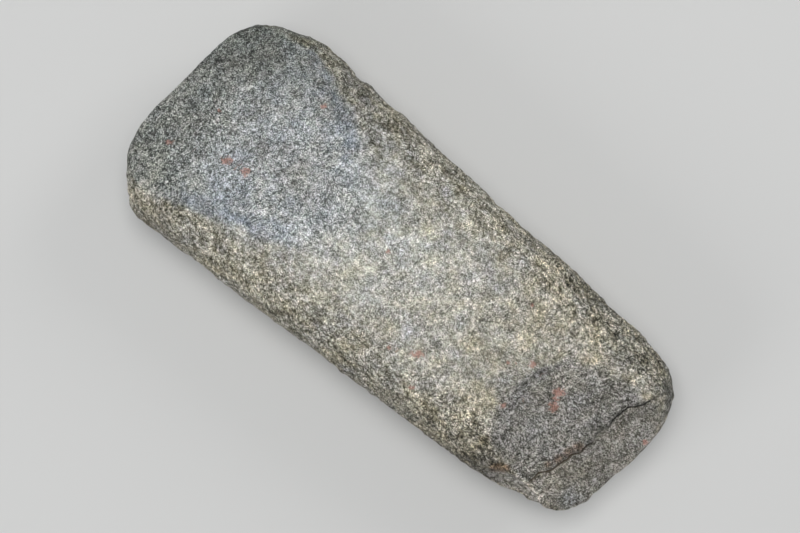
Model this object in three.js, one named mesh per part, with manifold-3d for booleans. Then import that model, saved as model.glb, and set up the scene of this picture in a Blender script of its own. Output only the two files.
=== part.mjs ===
// Polished stone axe: one block of greenstone, pecked to a round-oval bar, ground to a cutting
// edge on both faces, and flaked by damage at the butt. It lies on one broad face, as it does when loose.
//
// The axe is worked out about its own middle plane, the way it was made: the pecked blank first,
// then what grinding and damage took away. +X points to the cutting edge, +Z up out of the face that
// carries the flake scars. At the end it is set on its rest spot, centred over the origin.

import * as THREE from 'three';
import { mergeVertices } from 'three/addons/utils/BufferGeometryUtils.js';
import Module from 'manifold-3d';

// ---------------------------------------------------------------- driving dimensions, millimetres

// Pecked blank
const BIT_END = 79.0;               // end of the axis at the cutting edge
const BUTT_END = -79.1;             // end of the axis at the butt
const SHOULDER_X = 56;              // widest place, just behind the bit
const SHOULDER_WIDTH = 67.2;
const NECK_X = -43;                 // where the butt takes over
const NECK_WIDTH = 57.7;
const SIDE_BOW = 1.25;              // how far the butt half of the axis strays to +Y
const BOW_X = -35;                  // where it has strayed that far
const THICKNESS = 46;               // at the belly
const BELLY_X = 4;
const THINNING = 0.00062;           // half thickness lost for each square millimetre from the belly
const SECTION_POWER = 2.2;          // 2 would be a plain ellipse
const EDGE_SLANT = 0.076;           // the cutting edge is not quite square to the axis
const BUTT_SLANT = 0.078;

// How each end rounds off in plan: length of the rounding and how late it turns in
const BIT_CORNER = { left: { length: 19, power: 1.5 }, right: { length: 38, power: 3.5 } };
const BUTT_CORNER = { left: { length: 60, power: 6.2 }, right: { length: 60, power: 5.5 } };
const BIT_SQUARENESS = 3.3;
const BUTT_SQUARENESS = 4;

// How each end rounds off in side view
const BIT_CROWN = { length: 30, power: 4 };
const BUTT_CROWN = { length: 30, power: 3 };
const CROWN_SQUARENESS = 2.5;

// Ground faces of the bit
const BEVEL_START = 9;              // grinding begins, as the tip of a tongue on the face
const BEVEL_CLEARANCE = 0.4;        // of the ground face over the belly, before it dips
const BEVEL_SLOPE = 0.245;
const BEVEL_RUN_IN = 7;             // length over which the slope builds up
const EDGE_BEVEL_START = 58;        // from here the grinding turns down to the edge
const EDGE_BEVEL_CURVE = 0.0146;
const EDGE_TWIST = 0.1;             // the ground faces lean to -Y
const TWIST_END = 45;

// Damage at the butt
const SCAR = { x: -58, y: 5, height: 13.6, fall: 0.37, lean: -0.15, radius: 95 };
const STEP = { x: -67.2, slant: 0.33, wave: 0.8, waveLength: 30, depth: 1.3 };
const STEP_MIDDLE_Y = 3;            // the step is deepest here and fades out to either side
const STEP_REACH = 24;
const END_FLAKE_FALL = 0.32;        // steeper than the large scar by this slope
const SIDE_CHIP = { x: -57.5, y: 45, z: 14, radius: 22 };

// Pecked flat that the axe lies on
const REST_DEPTH = 0.8;

// Fineness of the facets
const RINGS = 44;
const RING_POINTS = 48;
const WASTE_HEIGHT = 60;            // the cut-away blocks reach well clear of the stone
const WASTE_WIDTH = 84;
const WASTE_CELLS = 22;

const wasm = await Module();
wasm.setup();

// ---------------------------------------------------------------- solids

function solidOf(geometry) {
  geometry.deleteAttribute('normal');
  geometry.deleteAttribute('uv');
  const merged = mergeVertices(geometry, 1e-4);
  const vertProperties = new Float32Array(merged.attributes.position.array);
  const triVerts = new Uint32Array(merged.index.array);
  return new wasm.Manifold(new wasm.Mesh({ numProp: 3, vertProperties, triVerts }));
}

function geometryOf(solid) {
  const mesh = solid.getMesh();
  const geometry = new THREE.BufferGeometry();
  geometry.setAttribute('position', new THREE.BufferAttribute(new Float32Array(mesh.vertProperties), 3));
  geometry.setIndex(new THREE.BufferAttribute(new Uint32Array(mesh.triVerts), 1));
  return geometry;
}

// A block of waste over the stone from x0 to x1. Its underside is bent to height(x, y), and its ends
// to the line x = bend(y).
function wasteAbove(x0, x1, height, bend = () => 0) {
  const geometry = new THREE.BoxGeometry(x1 - x0, WASTE_WIDTH, WASTE_HEIGHT, WASTE_CELLS, WASTE_CELLS, 1);
  geometry.translate((x0 + x1) / 2, 0, WASTE_HEIGHT / 2);
  const place = geometry.attributes.position;
  for (let i = 0; i < place.count; i += 1) {
    const y = place.getY(i);
    const x = place.getX(i) + bend(y);
    place.setX(i, x);
    if (place.getZ(i) < WASTE_HEIGHT / 2) {
      place.setZ(i, height(x, y));
    }
  }
  return geometry;
}

// ---------------------------------------------------------------- pecked blank

// 1 along the body, falling to 0 at the end in a squared-off round
function roundOff(fromEnd, corner, squareness) {
  const turned = THREE.MathUtils.clamp(1 - fromEnd / corner.length, 0, 1);
  return (1 - turned ** corner.power) ** (1 / squareness);
}

function halfWidth(x, side) {
  const along = (x - NECK_X) / (SHOULDER_X - NECK_X);
  const body = THREE.MathUtils.lerp(NECK_WIDTH, SHOULDER_WIDTH, along) / 2;
  const atBit = roundOff(BIT_END - x, BIT_CORNER[side], BIT_SQUARENESS);
  const atButt = roundOff(x - BUTT_END, BUTT_CORNER[side], BUTT_SQUARENESS);
  return body * atBit * atButt;
}

function halfThickness(x) {
  const body = THICKNESS / 2 - THINNING * (x - BELLY_X) ** 2;
  const atBit = roundOff(BIT_END - x, BIT_CROWN, CROWN_SQUARENESS);
  const atButt = roundOff(x - BUTT_END, BUTT_CROWN, CROWN_SQUARENESS);
  return body * atBit * atButt;
}

function axisBow(x) {
  const towardsBit = THREE.MathUtils.clamp((x - BOW_X) / (SHOULDER_X - BOW_X), 0, 1);
  return SIDE_BOW * (1 - towardsBit ** 2);
}

// Rings near either end lean, so that the end slants
function ringLean(x) {
  const nearBit = THREE.MathUtils.smoothstep(x, 30, BIT_END);
  const nearButt = THREE.MathUtils.smoothstep(-x, 40, -BUTT_END);
  return EDGE_SLANT * nearBit + BUTT_SLANT * nearButt;
}

function ringPoint(x, turn) {
  const across = Math.cos(turn);
  const up = Math.sin(turn);
  const side = across > 0 ? 'left' : 'right';
  const power = 2 / SECTION_POWER;
  const y = axisBow(x) + halfWidth(x, side) * Math.sign(across) * Math.abs(across) ** power;
  const z = halfThickness(x) * Math.sign(up) * Math.abs(up) ** power;
  return [x + ringLean(x) * y, y, z];
}

function peckedBlank() {
  const points = [];
  for (let ring = 1; ring < RINGS; ring += 1) {
    const along = (1 - Math.cos((Math.PI * ring) / RINGS)) / 2;
    const x = THREE.MathUtils.lerp(BUTT_END, BIT_END, along);
    for (let k = 0; k < RING_POINTS; k += 1) {
      points.push(...ringPoint(x, (2 * Math.PI * k) / RING_POINTS));
    }
  }
  const buttPole = points.length / 3;
  points.push(...ringPoint(BUTT_END, 0));
  const bitPole = buttPole + 1;
  points.push(...ringPoint(BIT_END, 0));

  const faces = [];
  const lastRing = (RINGS - 2) * RING_POINTS;
  for (let k = 0; k < RING_POINTS; k += 1) {
    const next = (k + 1) % RING_POINTS;
    faces.push(buttPole, next, k);
    faces.push(bitPole, lastRing + k, lastRing + next);
    for (let start = 0; start < lastRing; start += RING_POINTS) {
      const ahead = start + RING_POINTS;
      faces.push(start + k, start + next, ahead + next);
      faces.push(start + k, ahead + next, ahead + k);
    }
  }
  const geometry = new THREE.BufferGeometry();
  geometry.setAttribute('position', new THREE.Float32BufferAttribute(points, 3));
  geometry.setIndex(faces);
  return solidOf(geometry);
}

// ---------------------------------------------------------------- what grinding took away

// How far the ground face has dipped at x: a long, slightly convex slope that steepens at the edge
function groundDrop(x) {
  const run = Math.max(0, x - BEVEL_START);
  const edgeRun = Math.max(0, x - EDGE_BEVEL_START);
  return (BEVEL_SLOPE * run ** 2) / (run + BEVEL_RUN_IN) + EDGE_BEVEL_CURVE * edgeRun ** 2;
}

function groundHeight(x, y) {
  const twist = EDGE_TWIST * THREE.MathUtils.smoothstep(x, BEVEL_START, TWIST_END);
  return THICKNESS / 2 + BEVEL_CLEARANCE - groundDrop(x) + twist * y;
}

// Both faces are ground alike; turned half a turn about X, the block grinds the underside
function groundAway(turn) {
  const geometry = wasteAbove(BEVEL_START - 20, BIT_END + 10, groundHeight);
  geometry.rotateX(turn);
  return solidOf(geometry);
}

// ---------------------------------------------------------------- what damage took away

// The large scar is a shallow dish that falls to the butt and leans to the +Y side
function scarHeight(x, y) {
  const dx = x - SCAR.x;
  const dy = y - SCAR.y;
  return SCAR.height + SCAR.fall * dx + SCAR.lean * dy + (dx * dx + dy * dy) / (2 * SCAR.radius);
}

function largeFlake() {
  return solidOf(wasteAbove(BUTT_END - 15, SCAR.x + 36, scarHeight));
}

// The line across the butt where the end flake stopped in a step
function stepLine(y) {
  return STEP.x + STEP.slant * y + STEP.wave * Math.sin((2 * Math.PI * y) / STEP.waveLength);
}

function endFlakeHeight(x, y) {
  const beyond = stepLine(y) - x;
  const fade = Math.max(0, 1 - ((y - STEP_MIDDLE_Y) / STEP_REACH) ** 2);
  return scarHeight(x, y) - STEP.depth * fade - END_FLAKE_FALL * beyond;
}

function endFlake() {
  return solidOf(wasteAbove(-40, 0, endFlakeHeight, stepLine));
}

function sideChip() {
  const geometry = new THREE.SphereGeometry(SIDE_CHIP.radius, 48, 32);
  geometry.translate(SIDE_CHIP.x, SIDE_CHIP.y, SIDE_CHIP.z);
  return solidOf(geometry);
}

// ---------------------------------------------------------------- rest spot

function belowRest() {
  const geometry = new THREE.BoxGeometry(2 * BIT_END, WASTE_WIDTH, WASTE_HEIGHT);
  geometry.translate(0, 0, REST_DEPTH - THICKNESS / 2 - WASTE_HEIGHT / 2);
  return solidOf(geometry);
}

// ---------------------------------------------------------------- the axe

function axeGeometry() {
  const solid = peckedBlank()
    .subtract(groundAway(0))
    .subtract(groundAway(Math.PI))
    .subtract(largeFlake())
    .subtract(endFlake())
    .subtract(sideChip())
    .subtract(belowRest());
  const geometry = geometryOf(solid);
  geometry.computeBoundingBox();
  const { min, max } = geometry.boundingBox;
  geometry.translate(-(min.x + max.x) / 2, -(min.y + max.y) / 2, -min.z);
  return geometry;
}

const greenstone = new THREE.MeshStandardMaterial({ color: 0x8b8a7e, roughness: 0.85, metalness: 0 });
const axeHead = new THREE.Mesh(axeGeometry(), greenstone);
axeHead.name = 'axe_head';

const axe = new THREE.Group();
axe.add(axeHead);

export default axe;
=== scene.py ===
import math

import bpy
import numpy as np
from mathutils import Matrix, Vector


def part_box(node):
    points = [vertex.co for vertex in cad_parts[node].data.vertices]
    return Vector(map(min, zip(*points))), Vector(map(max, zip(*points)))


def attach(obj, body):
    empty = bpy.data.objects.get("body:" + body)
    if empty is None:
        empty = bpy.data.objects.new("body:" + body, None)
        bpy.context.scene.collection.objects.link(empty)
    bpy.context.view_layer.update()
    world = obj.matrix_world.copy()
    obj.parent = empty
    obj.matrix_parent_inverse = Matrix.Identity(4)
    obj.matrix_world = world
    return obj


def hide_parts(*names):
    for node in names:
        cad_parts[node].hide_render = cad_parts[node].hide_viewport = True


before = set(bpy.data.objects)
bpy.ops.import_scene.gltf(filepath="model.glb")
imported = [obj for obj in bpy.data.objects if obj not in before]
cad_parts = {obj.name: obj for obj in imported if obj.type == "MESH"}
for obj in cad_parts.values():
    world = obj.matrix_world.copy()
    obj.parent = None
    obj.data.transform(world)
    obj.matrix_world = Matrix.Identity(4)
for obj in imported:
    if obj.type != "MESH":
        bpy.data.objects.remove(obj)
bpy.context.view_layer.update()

MM = 0.001
SEED = 11

# ------------------------------------------------------- sizes, millimetres, about the middle plane

# Pecked blank, as the solid in the frame was made
BIT_END = 79.0
BUTT_END = -79.1
SHOULDER_X = 56.0
SHOULDER_WIDTH = 67.2
NECK_X = -43.0
NECK_WIDTH = 57.7
SIDE_BOW = 1.25
BOW_X = -35.0
THICKNESS = 46.0
BELLY_X = 4.0
THINNING = 0.00062
SECTION_POWER = 2.2
EDGE_SLANT = 0.076
BUTT_SLANT = 0.078
BIT_CORNER = {"left": (19.0, 1.5), "right": (38.0, 3.5)}
BUTT_CORNER = {"left": (60.0, 6.2), "right": (60.0, 5.5)}
BIT_SQUARENESS = 3.3
BUTT_SQUARENESS = 4.0
BIT_CROWN = (30.0, 4.0)
BUTT_CROWN = (30.0, 3.0)
CROWN_SQUARENESS = 2.5
BIT_LEAN_FROM, BUTT_LEAN_FROM = 30.0, 40.0      # the ends slant from here outwards
REST_DEPTH = 0.8

# Where the real outline leaves the plain one: station, half length and depth of each hollow
SIDE_HOLLOWS = {
    "left": (
        (-62.0, 4.2, 1.25), (-74.6, 3.2, -1.3), (-45.0, 5.0, -0.2), (6.0, 8.0, 0.4), (43.0, 10.0, 0.32),
        (64.5, 2.6, -0.8),
    ),
    "right": (
        (-50.0, 4.5, 0.8), (-42.0, 4.0, 0.3), (-18.0, 7.0, 0.55), (-7.5, 1.5, 0.5), (6.5, 4.0, 0.2),
        (26.0, 2.6, -0.4), (31.0, 2.5, 0.3), (39.0, 1.5, -0.3), (42.6, 2.2, 0.85), (55.0, 3.0, -0.4),
        (65.0, 5.0, 0.9),
    ),
}
# The same for the two ends: place across, half width and depth, and how far along they begin
BIT_HOLLOWS = ((-5.0, 8.0, 0.7), (-13.0, 4.0, 0.25), (3.0, 2.5, 0.25), (25.5, 3.5, 0.7))
BUTT_HOLLOWS = ((11.5, 7.5, 1.1), (-15.5, 5.0, 0.5))
END_HOLLOWS_FROM = 60.0

# Ground faces of the bit
BEVEL_START = 9.0
BEVEL_CLEARANCE = 0.4
BEVEL_SLOPE = 0.245
BEVEL_RUN_IN = 7.0
EDGE_BEVEL_START = 58.0
EDGE_BEVEL_CURVE = 0.0146
EDGE_TWIST = 0.1
TWIST_END = 45.0

# Damage at the butt: the large scar, with ripples that spread from where the blow fell
SCAR_X, SCAR_Y, SCAR_HEIGHT = -58.0, 5.0, 13.6
SCAR_FALL, SCAR_LEAN, SCAR_RADIUS = 0.37, -0.15, 95.0
BLOW_X, BLOW_Y = -80.0, 12.0
RIPPLE_HEIGHT = 0.12
RIPPLE_LENGTH = 2.1                 # from one ripple to the next, over two pi
# The end flake is steeper than the scar by this slope
END_FLAKE_FALL = 0.32
# The step where the end flake stopped: across, along, and its depth there
STEP_BENDS = (
    (-34.0, -76.5, 0.0), (-17.0, -72.6, 0.0), (-14.3, -71.5, 0.5), (-12.1, -70.2, 0.8), (-9.8, -69.0, 0.9),
    (-7.6, -67.2, 1.0), (-5.3, -66.9, 0.9), (-2.8, -66.8, 0.4), (-0.8, -66.3, 0.03), (3.9, -66.3, 0.05),
    (5.4, -65.9, 0.7), (6.6, -65.6, 0.9), (9.1, -65.3, 0.95), (10.8, -64.0, 0.9), (13.5, -63.6, 0.85),
    (17.0, -62.2, 0.7), (19.4, -60.4, 0.55), (22.4, -59.6, 0.4), (24.8, -59.0, 0.0), (34.0, -56.0, 0.0),
)
# The crack at its foot: how far past it, half the width, the depth, and the step that has it whole
CRACK_PLACE = 0.15
CRACK_HALF_WIDTH = 0.3
CRACK_DEPTH = 0.65
CRACK_WHOLE_STEP = 0.5
# The little flake at the step's +Y end: a hollow whose middle line runs out past the butt corner
SIDE_FLAKE_LINE = np.array(((-60.0, 46.5, 15.5), (-70.0, 47.5, 10.0)))
SIDE_FLAKE_RADIUS = 22.8
SIDE_FLAKE_BORDER = 1.0             # its fresh colour fades out this far past the hollow
SIDE_FLAKE_END = -50.0
# Its depth counts as broken so many times over, less a little at its rim
SIDE_FLAKE_FRESH, SIDE_FLAKE_RIM = 4.0, 0.3
# Bruised skin beside the large scar: along, across, reach, and how deep it counts as broken
BRUISE = (-44.0, 17.0, 9.0, 1.5)
# A flat chip off the bit's +Y corner: the way it faces, and how far out it lies
CORNER_FACING = np.array((0.711, 0.703))
CORNER_OUT = 71.6

# Unevenness of each face and line: its height, the size of its lumps, and the number of its random draw
STEP_JAGS = (0.16, 1.8, 1)
GROUND_LUMPS = (0.05, 11.0, 2)
GROUND_BELOW_LUMPS = (0.05, 11.0, 3)
RIPPLE_LUMPS = (0.8, 16.0, 4)
SCAR_LUMPS = (0.28, 9.0, 5)
SCAR_SMALL_LUMPS = (0.10, 3.0, 6)
END_FLAKE_LUMPS = (0.12, 5.0, 7)
SIDE_FLAKE_LUMPS = (0.16, 4.0, 8)
CORNER_LUMPS = (0.12, 2.5, 10)
# It is a sum of this many waves, whose lengths are the lump size over numbers drawn in this spread
WAVES = 24
WAVE_SPREAD = (0.5, 1.2)

# Softness of the arrises where two faces meet
GROUND_ARRIS = 1.4
SCAR_ARRIS = 0.5

# The fine mesh: cells along the body, cells across one side, and the length the end caps take
CELLS_ALONG = 288
CELLS_ACROSS = 72
CAP_LENGTH = 19.0
STATION_STEPS = 4001
# Its columns close up to the step: within this reach, this share of the way, and only above this height
STEP_PULL_REACH = 1.1
STEP_PULL = 0.93
STEP_PULL_HEIGHT = 3.0

# Its flat map in the unit square: the strip of the four long sides, and the two ends above it
MAP_MARGIN = 0.004
STRIP_MAP = (0.86, 0.80)
CAP_MAP = 0.184
CAP_MAP_BASE = 0.811
CAP_MAP_PLACES = (0.01, 0.22)

# Red grains: along, across, radius and how much longer than wide; they lie with the rock's faint grain
RED_GRAINS = (
    (70.0, 12.8, 0.72, 1.9), (54.5, 6.9, 1.1, 1.6), (48.6, 6.1, 1.05, 1.4), (43.6, -20.0, 0.75, 1.2),
    (-15.8, 14.9, 0.92, 1.9), (-20.2, 22.7, 0.7, 1.0), (-40.6, -1.7, 0.8, 1.2), (-41.4, 11.5, 0.75, 1.3),
    (-50.6, -0.2, 1.35, 1.3), (-52.1, 3.5, 1.5, 0.9), (-77.8, -4.1, 0.8, 1.0), (-9.1, 18.3, 0.6, 1.0),
    (64.6, -2.0, 0.5, 1.0), (6.6, -0.9, 0.6, 1.0), (-35.3, 2.2, 0.5, 1.0), (-31.0, -13.5, 0.5, 1.0),
)
GRAIN_WAY = (0.78, 0.63)
# Those of the underside are drawn at random, within a rectangle and a range of radii
HIDDEN_GRAINS = 9
HIDDEN_NUMBER = 9
HIDDEN_FROM, HIDDEN_TO = (-62.0, -20.0), (66.0, 20.0)
HIDDEN_RADII = (0.6, 1.3)
FAR_FROM_GRAIN = 9.0
# Rust-brown stains: along, across, radius
STAINS = (
    (-64.4, 7.6, 1.5), (-63.2, 10.4, 1.6), (-62.2, 13.4, 1.4), (-60.8, 16.5, 1.2), (-50.3, 26.2, 1.2),
    (-51.4, 25.2, 1.4), (-52.8, 24.0, 1.2),
)

# Patches where the stone is painted lighter or darker, and bluer, partly its own tone and partly painted
# light and shade: along, across, reach, change, share of blue
TONE_PATCHES = (
    # the bit and its ground face
    (79.0, 20.0, 4.0, -0.18, 0.0), (79.0, -7.0, 5.0, -0.18, 0.0), (71.0, -17.0, 7.0, -0.10, 0.0),
    (67.0, 24.5, 7.0, 0.0, -0.8), (60.0, 30.0, 5.5, -0.18, 0.0), (61.0, -21.0, 7.0, -0.08, 0.3),
    (62.5, -2.0, 4.0, 0.06, 0.0), (56.0, 23.0, 5.5, -0.09, 0.0), (56.0, 8.0, 6.5, 0.05, 0.9),
    (52.0, -2.0, 8.0, -0.02, 0.6), (49.0, 12.5, 5.5, 0.06, 0.9), (47.0, 19.0, 5.0, -0.08, 0.3),
    (39.0, 22.0, 5.5, -0.10, 0.2), (31.0, 20.5, 5.0, -0.08, 0.0), (38.0, 13.0, 6.0, 0.10, 0.2),
    (29.0, 11.5, 5.5, 0.07, 0.3), (40.0, -27.5, 6.0, -0.16, 0.3), (31.0, -26.0, 6.0, -0.17, 0.3),
    (31.0, -17.5, 4.0, 0.12, 0.0),
    # the belly
    (23.0, -21.0, 6.0, -0.12, 0.6), (15.0, -17.5, 5.0, -0.09, 0.4), (6.5, -17.5, 5.5, -0.09, 0.3),
    (15.0, -9.5, 6.0, 0.0, 1.4), (3.0, -7.0, 6.0, 0.04, 0.8), (14.5, -1.5, 4.5, -0.11, 0.5),
    (14.5, 6.5, 6.0, 0.08, 0.0), (22.0, 20.5, 5.5, -0.08, 0.0), (11.0, 20.0, 5.5, -0.07, 0.0),
    (7.0, 11.0, 6.0, -0.02, 0.9), (-1.2, -2.0, 5.0, 0.07, 0.2), (-1.0, -26.0, 6.0, -0.10, 0.4),
    (-9.5, 8.5, 4.5, 0.06, 0.0), (-15.5, -6.5, 6.5, 0.12, 0.0), (-15.0, -14.5, 5.0, -0.11, 0.0),
    # the butt
    (-25.5, -10.0, 5.0, 0.06, 0.0), (-25.0, -29.0, 4.5, -0.08, 0.0), (-32.5, 8.0, 6.0, -0.13, 0.4),
    (-33.5, 20.5, 4.5, 0.09, 0.0), (-34.0, 30.5, 4.0, -0.10, 0.0), (-44.0, 29.5, 6.0, -0.26, 0.0),
    (-41.4, -2.0, 4.5, -0.09, 0.8), (-41.0, -17.5, 4.0, 0.08, 0.0), (-43.0, -26.0, 6.5, -0.21, 0.8),
    (-49.0, -6.0, 4.5, 0.13, -0.7), (-49.5, 22.5, 5.5, -0.11, -0.3), (-57.5, -20.5, 5.0, -0.09, 0.9),
    (-58.0, 26.0, 4.5, 0.13, 0.0), (-64.5, 23.0, 5.0, 0.21, -0.4), (-65.5, 2.0, 4.0, -0.09, 0.0),
    (-73.5, -1.8, 4.0, 0.08, 0.0), (-75.0, -20.5, 5.5, -0.34, 1.2), (-71.5, 20.5, 3.0, 0.12, 1.6),
)
PATCHES_END = (-9.0, 0.0)           # heights over which they fade out round the flanks


# ---------------------------------------------------------------- the shape of the stone

def smoothstep(low, high, value):
    k = np.clip((value - low) / (high - low), 0.0, 1.0)
    return k * k * (3.0 - 2.0 * k)


def uneven(points, lumps):
    """Smooth seeded unevenness about 0; lumps is its height, the size of its lumps, and its number."""
    height, size, number = lumps
    draw = np.random.default_rng(SEED + number)
    ways = draw.normal(size=(WAVES, 3))
    ways /= np.linalg.norm(ways, axis=1)[:, None]
    ways *= (2.0 * math.pi / size) * draw.uniform(*WAVE_SPREAD, size=WAVES)[:, None]
    phases = draw.uniform(0.0, 2.0 * math.pi, size=WAVES)
    return height * (np.cos(points @ ways.T + phases).sum(axis=1) * math.sqrt(2.0 / WAVES))


def hollow(value, places):
    """Depth at value of a row of smooth hollows."""
    return sum(depth * np.exp(-(((value - middle) / half) ** 2)) for middle, half, depth in places)


def nearness(points, along, across, reach):
    """1 at a place on the stone seen from above, falling to 0 round it."""
    return np.exp(-((points[:, 0] - along) ** 2 + (points[:, 1] - across) ** 2) / reach ** 2)


def round_off(from_end, corner, squareness):
    """1 along the body, falling to 0 at the end in a squared-off round."""
    length, power = corner
    turned = np.clip(1.0 - from_end / length, 0.0, 1.0)
    return (1.0 - turned ** power) ** (1.0 / squareness)


def half_width(x, side):
    along = (x - NECK_X) / (SHOULDER_X - NECK_X)
    body = (NECK_WIDTH + (SHOULDER_WIDTH - NECK_WIDTH) * along) / 2.0
    at_bit = round_off(BIT_END - x, BIT_CORNER[side], BIT_SQUARENESS)
    at_butt = round_off(x - BUTT_END, BUTT_CORNER[side], BUTT_SQUARENESS)
    return (body - hollow(x, SIDE_HOLLOWS[side])) * at_bit * at_butt


def half_thickness(x):
    body = THICKNESS / 2.0 - THINNING * (x - BELLY_X) ** 2
    at_bit = round_off(BIT_END - x, BIT_CROWN, CROWN_SQUARENESS)
    at_butt = round_off(x - BUTT_END, BUTT_CROWN, CROWN_SQUARENESS)
    return body * at_bit * at_butt


def axis_bow(x):
    towards_bit = np.clip((x - BOW_X) / (SHOULDER_X - BOW_X), 0.0, 1.0)
    return SIDE_BOW * (1.0 - towards_bit ** 2)


def ring_lean(x):
    near_bit = smoothstep(BIT_LEAN_FROM, BIT_END, x)
    near_butt = smoothstep(BUTT_LEAN_FROM, -BUTT_END, -x)
    return EDGE_SLANT * near_bit + BUTT_SLANT * near_butt


def blank_point(x, turn):
    """A point of the pecked blank, at station x and angle turn round the axis."""
    across, up = np.cos(turn), np.sin(turn)
    width = np.where(across > 0.0, half_width(x, "left"), half_width(x, "right"))
    power = 2.0 / SECTION_POWER
    y = axis_bow(x) + width * np.sign(across) * np.abs(across) ** power
    z = half_thickness(x) * np.sign(up) * np.abs(up) ** power
    at_bit = smoothstep(END_HOLLOWS_FROM, BIT_END, x) * hollow(y, BIT_HOLLOWS)
    at_butt = smoothstep(END_HOLLOWS_FROM, -BUTT_END, -x) * hollow(y, BUTT_HOLLOWS)
    return np.stack((x + ring_lean(x) * y - at_bit + at_butt, y, z), axis=-1)


def ground_height(x, y):
    run = np.maximum(0.0, x - BEVEL_START)
    edge_run = np.maximum(0.0, x - EDGE_BEVEL_START)
    drop = BEVEL_SLOPE * run ** 2 / (run + BEVEL_RUN_IN) + EDGE_BEVEL_CURVE * edge_run ** 2
    twist = EDGE_TWIST * smoothstep(BEVEL_START, TWIST_END, x)
    return THICKNESS / 2.0 + BEVEL_CLEARANCE - drop + twist * y


def scar_height(x, y):
    dx, dy = x - SCAR_X, y - SCAR_Y
    return SCAR_HEIGHT + SCAR_FALL * dx + SCAR_LEAN * dy + (dx ** 2 + dy ** 2) / (2.0 * SCAR_RADIUS)


def step_line(y):
    """Where the step runs at y, and how deep it is there."""
    across, along, depth = (np.array(column) for column in zip(*STEP_BENDS))
    jags = uneven(np.stack((y, 0.0 * y, 0.0 * y), axis=-1), STEP_JAGS)
    return np.interp(y, across, along) + jags, np.interp(y, across, depth)


def crack_share(step):
    """How much of the crack a step of this depth has."""
    return np.clip(step / CRACK_WHOLE_STEP, 0.0, 1.0)


def broken_height(x, y, beyond, step):
    """The broken faces: the large scar, then past the step the end flake, and the crack between them."""
    flat = np.stack((x, y, 0.0 * y), axis=-1)
    ripples = np.sin(np.hypot(x - BLOW_X, y - BLOW_Y) / RIPPLE_LENGTH + uneven(flat, RIPPLE_LUMPS))
    scar = scar_height(x, y) + RIPPLE_HEIGHT * ripples + uneven(flat, SCAR_LUMPS)
    scar += uneven(flat, SCAR_SMALL_LUMPS)
    end_flake = scar - step - END_FLAKE_FALL * beyond + uneven(flat, END_FLAKE_LUMPS)
    crack = np.exp(-((beyond - CRACK_PLACE) / CRACK_HALF_WIDTH) ** 2) * crack_share(step)
    return np.where(beyond > 0.0, end_flake, scar) - CRACK_DEPTH * crack


def soft_min(a, b, softness):
    """The lower of two heights, with the arris between them rounded off."""
    near = np.maximum(softness - np.abs(a - b), 0.0) / softness
    return np.minimum(a, b) - near ** 2 * softness / 4.0


def away_from_line(points, line):
    """Vectors from the nearest point of a straight line piece."""
    start, end = line
    way = end - start
    along = np.clip(((points - start) @ way) / (way @ way), 0.0, 1.0)
    return points - (start + along[:, None] * way)


def carve(points):
    """Grinds and flakes the blank. Returns the carved points, and values for the skin at each of them."""
    x, y, blank = points.T.copy()
    line, step = step_line(y)
    # columns of the mesh close up to the step, so that its wall stays crisp
    pull = np.clip(np.abs(line - x) / STEP_PULL_REACH, 0.0, 1.0) ** 2
    x = x + smoothstep(0.0, STEP_PULL_HEIGHT, blank) * (line - x) * (1.0 - pull) * STEP_PULL
    beyond = line - x

    flat = np.stack((x, y, 0.0 * y), axis=-1)
    ground = ground_height(x, y) + uneven(flat, GROUND_LUMPS)
    ground_below = ground_height(x, -y) + uneven(flat, GROUND_BELOW_LUMPS)
    broken = broken_height(x, y, beyond, step)
    z = soft_min(blank, ground, GROUND_ARRIS)
    z = -soft_min(-z, ground_below, GROUND_ARRIS)
    z = soft_min(z, broken, SCAR_ARRIS)
    carved = np.stack((x, y, z), axis=-1)

    out = away_from_line(carved, SIDE_FLAKE_LINE)
    distance = np.linalg.norm(out, axis=1)
    radius = SIDE_FLAKE_RADIUS + uneven(carved, SIDE_FLAKE_LUMPS)
    push = np.maximum(radius - distance, 0.0)
    carved += out / distance[:, None] * push[:, None]
    proud = carved[:, :2] @ CORNER_FACING - CORNER_OUT - uneven(carved, CORNER_LUMPS)
    carved[:, :2] -= np.maximum(proud, 0.0)[:, None] * CORNER_FACING
    carved[:, 2] = np.maximum(carved[:, 2], REST_DEPTH - THICKNESS / 2.0)

    top = z > 0.0
    *bruise_place, bruise_depth = BRUISE
    bruised = bruise_depth * nearness(flat, *bruise_place)
    broken_depth = np.where(top, blank - broken + bruised, -1.0)
    broken_depth = np.maximum(broken_depth, push * SIDE_FLAKE_FRESH - SIDE_FLAKE_RIM)
    ground_depth = np.maximum(blank - ground, -blank - ground_below)
    side_flake = np.clip(radius + SIDE_FLAKE_BORDER - distance, 0.0, 1.0)
    stain = sum(nearness(carved, *place) for place in STAINS)
    # tone patches: partly the stone's own tone, partly painted light and shade
    tone_and_painted_light = sum(change * nearness(carved, *place) for *place, change, _ in TONE_PATCHES)
    blueness = sum(share * nearness(carved, *place) for *place, _, share in TONE_PATCHES)
    upper = smoothstep(*PATCHES_END, z)
    skin = {
        "ground": np.clip(ground_depth, -3.0, 12.0),
        "broken": np.clip(broken_depth, -3.0, 6.0),
        "beyond": np.clip(beyond, -3.0, 3.0),
        "crack": np.where(top, crack_share(step), 0.0),
        "stain": np.where(top, stain, 0.0),
        "side flake": np.where(x < SIDE_FLAKE_END, side_flake, 0.0),
        "tone_and_painted_light": tone_and_painted_light * upper,
        "blueness": blueness * upper,
    }
    return carved, skin


def hidden_grains():
    """Red grains for the underside."""
    draw = np.random.default_rng(SEED + HIDDEN_NUMBER)
    for _ in range(HIDDEN_GRAINS):
        yield (*draw.uniform(HIDDEN_FROM, HIDDEN_TO), draw.uniform(*HIDDEN_RADII), 1.0)


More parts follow.
